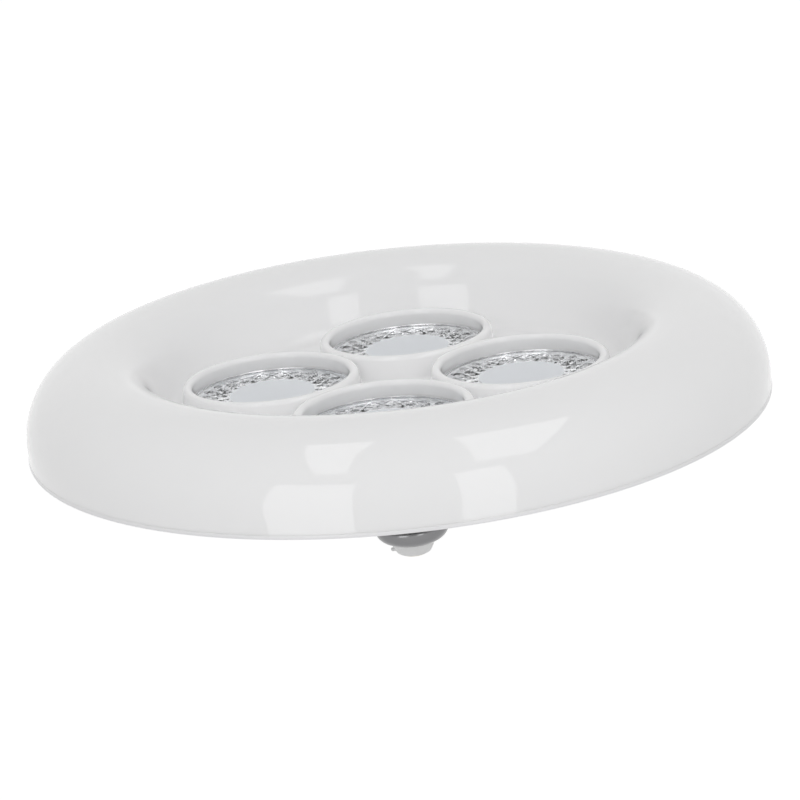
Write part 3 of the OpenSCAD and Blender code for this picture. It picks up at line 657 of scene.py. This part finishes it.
crosses = [gather([slot_cutter(place, turn) for place in cover_screw_places]) for turn in (0, 90)]
carve(screws, [("DIFFERENCE", cross) for cross in crosses])
shade(screws, 35)

# %% [markdown]
# ## Reflector cups
# Behind each lens sits a moulded cup plated with bright chrome. From the front only its thin round lip
# shows between lens and collar, and the rest is seen through the crystal. It is turned as one closed
# section. Its lip is fully metallic. Its bowl hardly shows, so its finish is chosen for the pale, even tone
# that is seen through the crystal, and is only partly metallic.

# %% Reflectors
def metallic_lip(tree, place):
    return ramp(tree, split(tree, place)[2], 0.0592, 0.0598, 0.2, 1)


finish("reflector_chrome", metal, {
    "Colour": (0.95, 0.95, 0.96, 1), "Shade": 0.03, "Rough": 0.18,
    "Line Scale": 900.0, "Line Height": 4e-7, "Cloud Scale": 200.0,
}, Metallic=metallic_lip)
bowl = curve((25.5, 59.3), (21.5, 56.3), (13.2, 52.1), (5.2, 52.1), 24)
cup_section = beside(bowl, 1.0)[::-1] + [(28.4, 58.3), (28.4, 60.7), (27.1, 60.7), (27.1, 60.9)]
cup_section += [(27.02, 61.04), (26.85, 61.1), (26.65, 61.1), (26.54, 61.04), (26.5, 60.9), (26.5, 59.3)] + bowl
for number, place in enumerate(spots, 1):
    cup_form = lathe(cup_section, 128, closed=True, place=place)
    make(f"reflector_cup_{number}", cup_form, "reflector_chrome", [f"spot_reflector_{number}"])

# %% [markdown]
# ## Crystal lenses
# Each lens is moulded in clear plastic: a smooth frosted centre, and round it three staggered rows of small
# pyramids that glint. The facets are already right in the solid, so its mesh is copied, its loose triangles
# are merged into true facets, and the edges on its upper side get a narrow bevel, because it is the edges
# of cut crystal that catch the light. The centre is frosted, so it has a finish of its own. Such plastic has
# an index of refraction of about 1.5. The clear part is given 1.33, which keeps the crystal band pale.

# %% Lens finishes
finish("lens_clear", moulded, {
    "Colour": (0.97, 0.98, 0.99, 1), "Shade": 0.01, "Rough": 0.02,
    "Ripple Scale": 300.0, "Ripple Height": 1.2e-6, "Grain Scale": 2600.0, "Grain Height": 1e-7,
}, Transmission_Weight=1, IOR=1.33)
finish("lens_frost", moulded, {
    "Colour": (0.87, 0.9, 0.935, 1), "Shade": 0.02, "Rough": 0.42,
    "Ripple Scale": 200.0, "Ripple Height": 2e-6, "Grain Scale": 6000.0, "Grain Height": 1.5e-6,
}, Transmission_Weight=0.15, IOR=1.5)

# %% Lenses
lens_top = 60.2 * mm
centre_r = 14 * mm


def crystal(number, place):
    form = bmesh.new()
    form.from_mesh(nodes[f"spot_lens_{number}"].data)
    bmesh.ops.remove_doubles(form, verts=form.verts, dist=2e-6)
    bmesh.ops.dissolve_limit(form, angle_limit=math.radians(0.6), verts=form.verts, edges=form.edges)
    bmesh.ops.recalc_face_normals(form, faces=form.faces)
    crown = [
        edge for edge in form.edges
        if edge.calc_face_angle(0) > math.radians(4) and min(v.co.z for v in edge.verts) > lens_top
    ]
    bmesh.ops.bevel(
        form, geom=crown, offset=0.05 * mm, offset_type="OFFSET", affect="EDGES",
        segments=1, profile=0.5, material=-1, clamp_overlap=True,
    )
    lens = make(f"crystal_lens_{number}", form, "lens_clear", [f"spot_lens_{number}"], 3)
    lens.data.materials.append(finishes["lens_frost"])
    for face in lens.data.polygons:
        off_axis = (face.center.xy - place.translation.xy).length
        if face.normal.z > 0.99 and off_axis < centre_r and face.center.z > lens_top + 0.1 * mm:
            face.material_index = 1
    print(lens.name, "frosted faces:", sum(face.material_index == 1 for face in lens.data.polygons))


for number, place in enumerate(spots, 1):
    crystal(number, place)

# %% [markdown]
# ## Boards and LEDs inside
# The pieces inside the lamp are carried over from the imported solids, and each still gets a finish of its
# own, because it shows when the lamp is taken apart. On a real LED board the packages stand on white solder
# mask, each a white frame round a yellow phosphor window. Board and packages are one solid here, so the
# finish tells them apart by where a point lies: one mask takes its height, another its angle round the
# lamp, folded so that the pattern of one package repeats sixty times.

# %% Helper for masks
def between(tree, value, low, high, edge=4e-5):
    """One where the value lies between low and high, and zero elsewhere."""
    rise = ramp(tree, value, low - edge, low + edge)
    return sums(tree, "MULTIPLY", rise, ramp(tree, value, high - edge, high + edge, 1, 0))


# %% Board and emitter finishes
led_count = 60


def board_colours(tree, place):
    x, y, z = split(tree, place)
    reach = distance_from_axis(tree, x, y)
    share = 2 * math.pi / led_count
    turn = sums(tree, "MULTIPLY_ADD", sums(tree, "ARCTAN2", y, x), 1 / share, led_count / 2 + 0.5)
    across = sums(tree, "MULTIPLY", sums(tree, "SUBTRACT", sums(tree, "FRACT", turn), 0.5), share)
    across = sums(tree, "MULTIPLY", across, reach)
    window = between(tree, reach, 0.09625, 0.09825)
    window = sums(tree, "MULTIPLY", window, between(tree, across, -0.0014, 0.0014))
    window = sums(tree, "MULTIPLY", window, ramp(tree, z, 0.05185, 0.05188))
    package = ramp(tree, z, 0.05112, 0.05116)
    track = sums(tree, "MAXIMUM", between(tree, reach, 0.0915, 0.0952), between(tree, reach, 0.0993, 0.103))
    mask = blend(tree, track, (0.8, 0.8, 0.76, 1), (0.72, 0.71, 0.64, 1))
    return blend(tree, window, blend(tree, package, mask, (0.85, 0.85, 0.84, 1)), (0.85, 0.62, 0.1, 1))


def emitter_colours(tree, place):
    top = ramp(tree, split(tree, place)[2], 0.0519, 0.05192)
    return blend(tree, top, (0.8, 0.8, 0.78, 1), (0.85, 0.6, 0.08, 1))


finish("board_white", moulded, {
    "Colour": board_colours, "Shade": 0.04, "Rough": 0.38,
    "Ripple Scale": 160.0, "Ripple Height": 6e-6, "Grain Scale": 4200.0, "Grain Height": 3e-6,
})
finish("emitter_yellow", moulded, {
    "Colour": emitter_colours, "Shade": 0.05, "Rough": 0.22,
    "Ripple Scale": 300.0, "Ripple Height": 4e-6, "Grain Scale": 8000.0, "Grain Height": 8e-7,
}, Coat_Weight=0.4)

# %% [markdown]
# ## Heat plate and driver board
# The plate that cools the LEDs is punched from rolled sheet, so its fine lines all run one way: its noise
# is squeezed along one axis. The driver's board has green solder mask over bundles of copper tracks, which
# run lengthwise in some fields and crosswise in others. A cell texture picks the direction of each field,
# and the tracks stand up by the thickness of the copper.

# %% Plate and circuit board
track_height = 3.5e-5


def rolled(tree, place):
    return add(tree, "ShaderNodeVectorMath", {0: place, 1: (0.04, 1, 1)}, operation="MULTIPLY").outputs[0]


finish("plate_metal", metal, {
    "Vector": rolled, "Colour": (0.77, 0.77, 0.78, 1), "Shade": 0.12, "Rough": 0.3,
    "Line Scale": 2600.0, "Line Height": 2e-6, "Cloud Scale": 60.0,
}, Metallic=1)

board_green, tree, shader, place = new_material("board_green")
fields = add(tree, "ShaderNodeTexVoronoi", {"Vector": place, "Scale": 150.0}, distance="CHEBYCHEV")
chance = add(tree, "ShaderNodeSeparateColor", {0: fields.outputs["Color"]}).outputs[0]
lengthwise = sums(tree, "GREATER_THAN", chance, 0.5)
runs = [sums(tree, "FRACT", sums(tree, "MULTIPLY", axis, 620.0)) for axis in split(tree, place)[:2]]
stripes = [between(tree, run, 0.25, 0.7, 0.05) for run in runs]
choice = sums(tree, "SUBTRACT", stripes[1], stripes[0])
tracks = sums(tree, "MULTIPLY_ADD", choice, lengthwise, stripes[0])
mask = blend(tree, tracks, (0.012, 0.11, 0.035, 1), (0.03, 0.24, 0.07, 1))
group = skin(tree, shader, moulded, {
    "Vector": place, "Colour": mask, "Shade": 0.1, "Rough": 0.3,
    "Ripple Scale": 200.0, "Ripple Height": 4e-6, "Grain Scale": 4000.0, "Grain Height": 2e-6,
})
raised = sums(tree, "MULTIPLY_ADD", tracks, track_height, group.outputs["Height"])
feed(tree, shader.inputs["Normal"].links[0].from_node.inputs["Height"], raised)
finishes["board_green"] = board_green
print("circuit board's tree has", len(tree.nodes), "nodes")

# %% [markdown]
# ## Driver components
# Each component is one solid with two or three materials in it. The transformer is a black bobbin, yellow
# tape round its winding and a grey ferrite core. The capacitors have a dark sleeve with a pale stripe on
# the minus side and a bare aluminium end. The choke shows its copper winding between two ferrite flanges,
# the resistor its colour bands, and the chip a small moulded dot at its first pin. All of it is drawn with
# masks from coordinates.

# %% Component colours
def transformer_colours(tree, place):
    x, y, z = split(tree, place)
    wraps = sums(tree, "FRACT", sums(tree, "MULTIPLY", z, 900.0))
    tape = blend(tree, between(tree, wraps, 0.0, 0.12, 0.04), (0.72, 0.5, 0.08, 1), (0.5, 0.33, 0.05, 1))
    sides = sums(tree, "GREATER_THAN", sums(tree, "ABSOLUTE", sums(tree, "SUBTRACT", y, 0.008)), 0.00533)
    core = sums(tree, "MAXIMUM", sides, sums(tree, "LESS_THAN", z, 0.03445))
    core = sums(tree, "MULTIPLY", core, between(tree, x, -0.01253, -0.00547, 1e-5))
    body = blend(tree, core, tape, (0.06, 0.06, 0.065, 1))
    return blend(tree, ramp(tree, z, 0.04108, 0.04111), body, (0.02, 0.02, 0.02, 1))


def capacitor_parts(tree, place):
    """The distance from the capacitor's own axis, the offset along x and the height."""
    x, y, z = split(tree, place)
    dx = sums(tree, "SUBTRACT", x, ramp(tree, x, -1e-4, 1e-4, -0.009, 0.009))
    dy = sums(tree, "SUBTRACT", y, ramp(tree, x, -1e-4, 1e-4, -0.008, 0.008))
    return distance_from_axis(tree, dx, dy), dx, z


def capacitor_colours(tree, place):
    reach, dx, z = capacitor_parts(tree, place)
    stripe = sums(tree, "GREATER_THAN", dx, sums(tree, "MULTIPLY", reach, 0.9))
    sleeve = blend(tree, stripe, (0.015, 0.02, 0.05, 1), (0.45, 0.47, 0.5, 1))
    low = ramp(tree, z, 0.03453, 0.03456, 1, 0)
    end = sums(tree, "MULTIPLY", low, ramp(tree, reach, 0.0026, 0.00265, 1, 0))
    return blend(tree, end, sleeve, (0.6, 0.6, 0.61, 1))


def choke_colours(tree, place):
    z = split(tree, place)[2]
    wire = between(tree, sums(tree, "FRACT", sums(tree, "MULTIPLY", z, 2800.0)), 0.2, 0.85, 0.12)
    copper = blend(tree, wire, (0.1, 0.03, 0.01, 1), (0.5, 0.19, 0.06, 1))
    return blend(tree, between(tree, z, 0.03652, 0.04148), (0.05, 0.045, 0.045, 1), copper)


def resistor_colours(tree, place):
    x = split(tree, place)[0]
    brown, black, gold = (0.2, 0.06, 0.02, 1), (0.01, 0.01, 0.01, 1), (0.6, 0.4, 0.08, 1)
    colour = (0.5, 0.34, 0.2, 1)
    for start, paint in ((0.0004, brown), (0.0012, black), (0.002, black), (0.0031, gold)):
        colour = blend(tree, between(tree, x, start, start + 0.0005), colour, paint)
    return colour


def package_colours(tree, place):
    first_pin = {0: place, 1: (-0.0018, 0.0003, 0.041)}
    away = add(tree, "ShaderNodeVectorMath", first_pin, operation="DISTANCE").outputs["Value"]
    dot = ramp(tree, away, 0.00028, 0.00032, 1, 0)
    return blend(tree, dot, (0.025, 0.025, 0.026, 1), (0.09, 0.09, 0.09, 1))


# %% Component finishes
fine = {"Ripple Scale": 400.0, "Ripple Height": 1e-5, "Grain Scale": 6000.0, "Grain Height": 3e-6}
finish("transformer_tape", moulded, {"Colour": transformer_colours, "Shade": 0.15, "Rough": 0.42, **fine})
finish("capacitor_sleeve", moulded, {"Colour": capacitor_colours, "Shade": 0.08, "Rough": 0.22, **fine})
finish("choke_brown", moulded, {"Colour": choke_colours, "Shade": 0.12, "Rough": 0.34, **fine})
finish("resistor_tan", moulded, {"Colour": resistor_colours, "Shade": 0.1, "Rough": 0.4, **fine})
finish("package_black", moulded, {"Colour": package_colours, "Shade": 0.15, "Rough": 0.5, **fine})

# %% [markdown]
# ## Leads, and putting the finishes on
# The leads have soft plastic insulation, a little wavy and not quite even in colour where it was bent. Red
# goes to the live and plus sides, blue to the neutral, and black to the rest. Then every piece that is
# carried over gets its finish in the slot that it already has, and nothing else about it changes.

# %% Leads
red, blue, black = (0.5, 0.02, 0.015, 1), (0.02, 0.06, 0.35, 1), (0.02, 0.02, 0.022, 1)
for slot, colour in (("lead_red", red), ("lead_blue", blue), ("lead_black", black)):
    finish(slot, moulded, {
        "Colour": colour, "Shade": 0.3, "Rough": 0.36,
        "Ripple Scale": 260.0, "Ripple Height": 3e-5, "Grain Scale": 5000.0, "Grain Height": 2e-6,
    })

# %% Carried pieces get their finish
kept = ["led_plate", "ring_led_board", "driver_board", "transformer", "input_capacitor", "output_capacitor"]
kept += ["line_choke", "bridge_rectifier", "fusible_resistor", "driver_chip", "live_lead", "neutral_lead"]
kept += ["plus_lead", "minus_lead", "spot_leads", "plate_screws", "driver_screws"]
kept += [f"spot_{kind}_{i + 1}" for kind in ("board", "emitter") for i in range(4)]
for name in kept:
    for holder in nodes[name].material_slots:
        holder.material = finishes[holder.material.name]
print("pieces carried over with a new finish:", len(kept))
